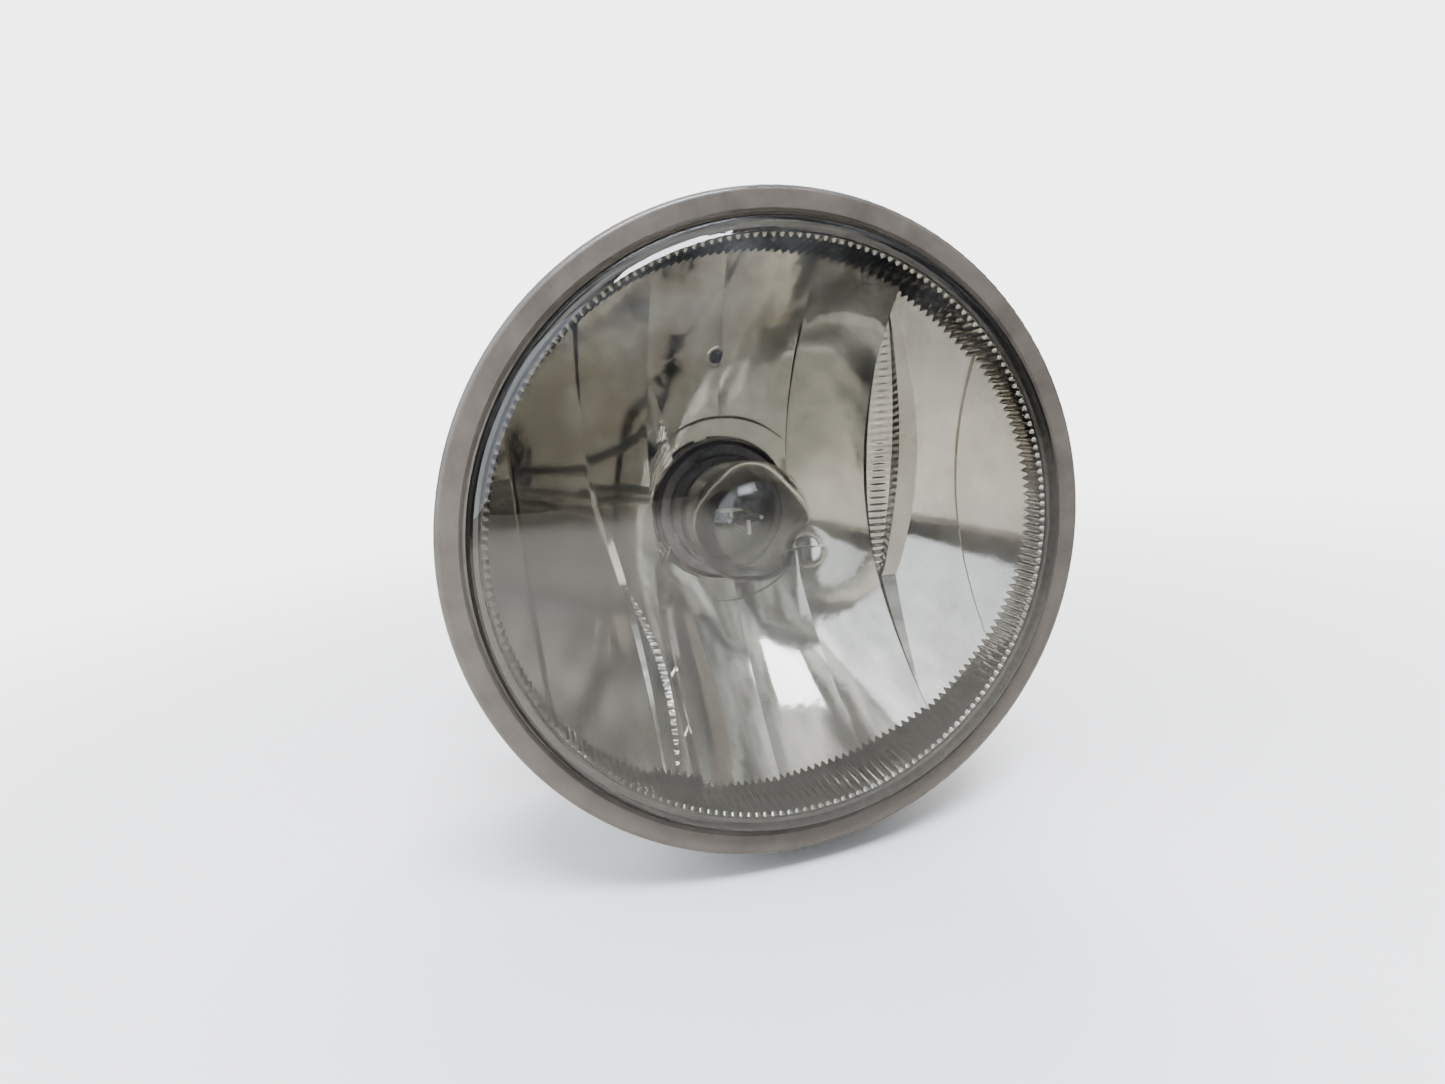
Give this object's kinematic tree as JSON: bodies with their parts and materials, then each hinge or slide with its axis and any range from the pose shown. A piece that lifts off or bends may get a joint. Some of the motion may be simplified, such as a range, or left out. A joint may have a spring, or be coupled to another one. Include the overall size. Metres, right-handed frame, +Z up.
{
  "type": "fog light",
  "caption": "Round fog light: clear glass lens over a stepped mirror reflector and quarter-turn bulb, tilting in a steel U bracket with an aim screw.",
  "frame": {"origin": "centre of the four bolt holes on the bracket's rear face, on the lamp's axis", "axes": "+Z up, lens faces -Y, +X to the right seen from in front"},
  "size_m": [0.102, 0.0805, 0.1058],
  "materials": {
    "lens_glass": "clear polished",
    "sealant": "matt sealant",
    "housing_plastic": "satin moulded",
    "reflector_mirror": "vacuum metallised",
    "zinc_steel": "zinc plated",
    "gasket_rubber": "matt",
    "black_plastic": "satin moulded",
    "membrane": "fibrous",
    "brass": "turned",
    "white_nylon": "moulded",
    "retainer_steel": "dark pressed",
    "bulb_clear_glass": "clear",
    "tungsten": "drawn",
    "nickel_wire": "drawn",
    "seal_rubber": "matt",
    "tin_brass": "tinned",
    "bracket_steel": "black e-coat",
    "spring_steel": "phosphated"
  },
  "bodies": {
    "bracket": {"bracket": "bracket_steel", "pivot_bushings": "white_nylon", "adjuster_grommet": "white_nylon"},
    "lamp_unit": {"lens": "lens_glass", "lens_seal": "sealant", "housing": "housing_plastic", "reflector": "reflector_mirror", "reflector_screws": "zinc_steel", "neck_gasket": "gasket_rubber", "vent_cap": "black_plastic", "vent_membrane": "membrane", "pivot_inserts": "brass", "pivot_screws": "zinc_steel", "pivot_washers": "zinc_steel", "adjuster_socket": "white_nylon"},
    "bulb": {"bulb_base": "black_plastic", "bulb_retainer": "retainer_steel", "bulb_glass": "bulb_clear_glass", "bulb_stem": "bulb_clear_glass", "bulb_filament": "tungsten", "bulb_supports": "nickel_wire", "bulb_o_ring": "seal_rubber", "bulb_terminals": "tin_brass"},
    "aim_screw": {"adjuster_screw": "zinc_steel", "adjuster_clip": "spring_steel"},
    "aim_nut": {"adjuster_nut": "black_plastic"}
  },
  "joints": [
    {"name": "lamp_tilt", "type": "hinge", "parent": "bracket", "child": "lamp_unit", "pos_m": [0, -0.038, 0], "axis": [1, 0, 0], "range_deg": [-4, 4]},
    {"name": "bulb_twist", "type": "hinge", "parent": "lamp_unit", "child": "bulb", "pos_m": [0, -0.02, 0], "axis": [0, 1, 0], "range_deg": [0, 45]},
    {"name": "aim_screw_turn", "type": "hinge", "parent": "bracket", "child": "aim_screw", "pos_m": [0, -0.016, -0.0465], "axis": [0, 1, 0], "range_deg": [-400, 400]},
    {"name": "aim_nut_slide", "type": "slide", "parent": "bracket", "child": "aim_nut", "axis": [0, 1, 0], "range_m": [-0.0034, 0.0034]}
  ],
  "couplings": [
    {"joint": "aim_screw_turn", "follows": "lamp_tilt", "ratio": -97.389},
    {"joint": "aim_nut_slide", "follows": "lamp_tilt", "m_per_rad": 0.0465}
  ]
}
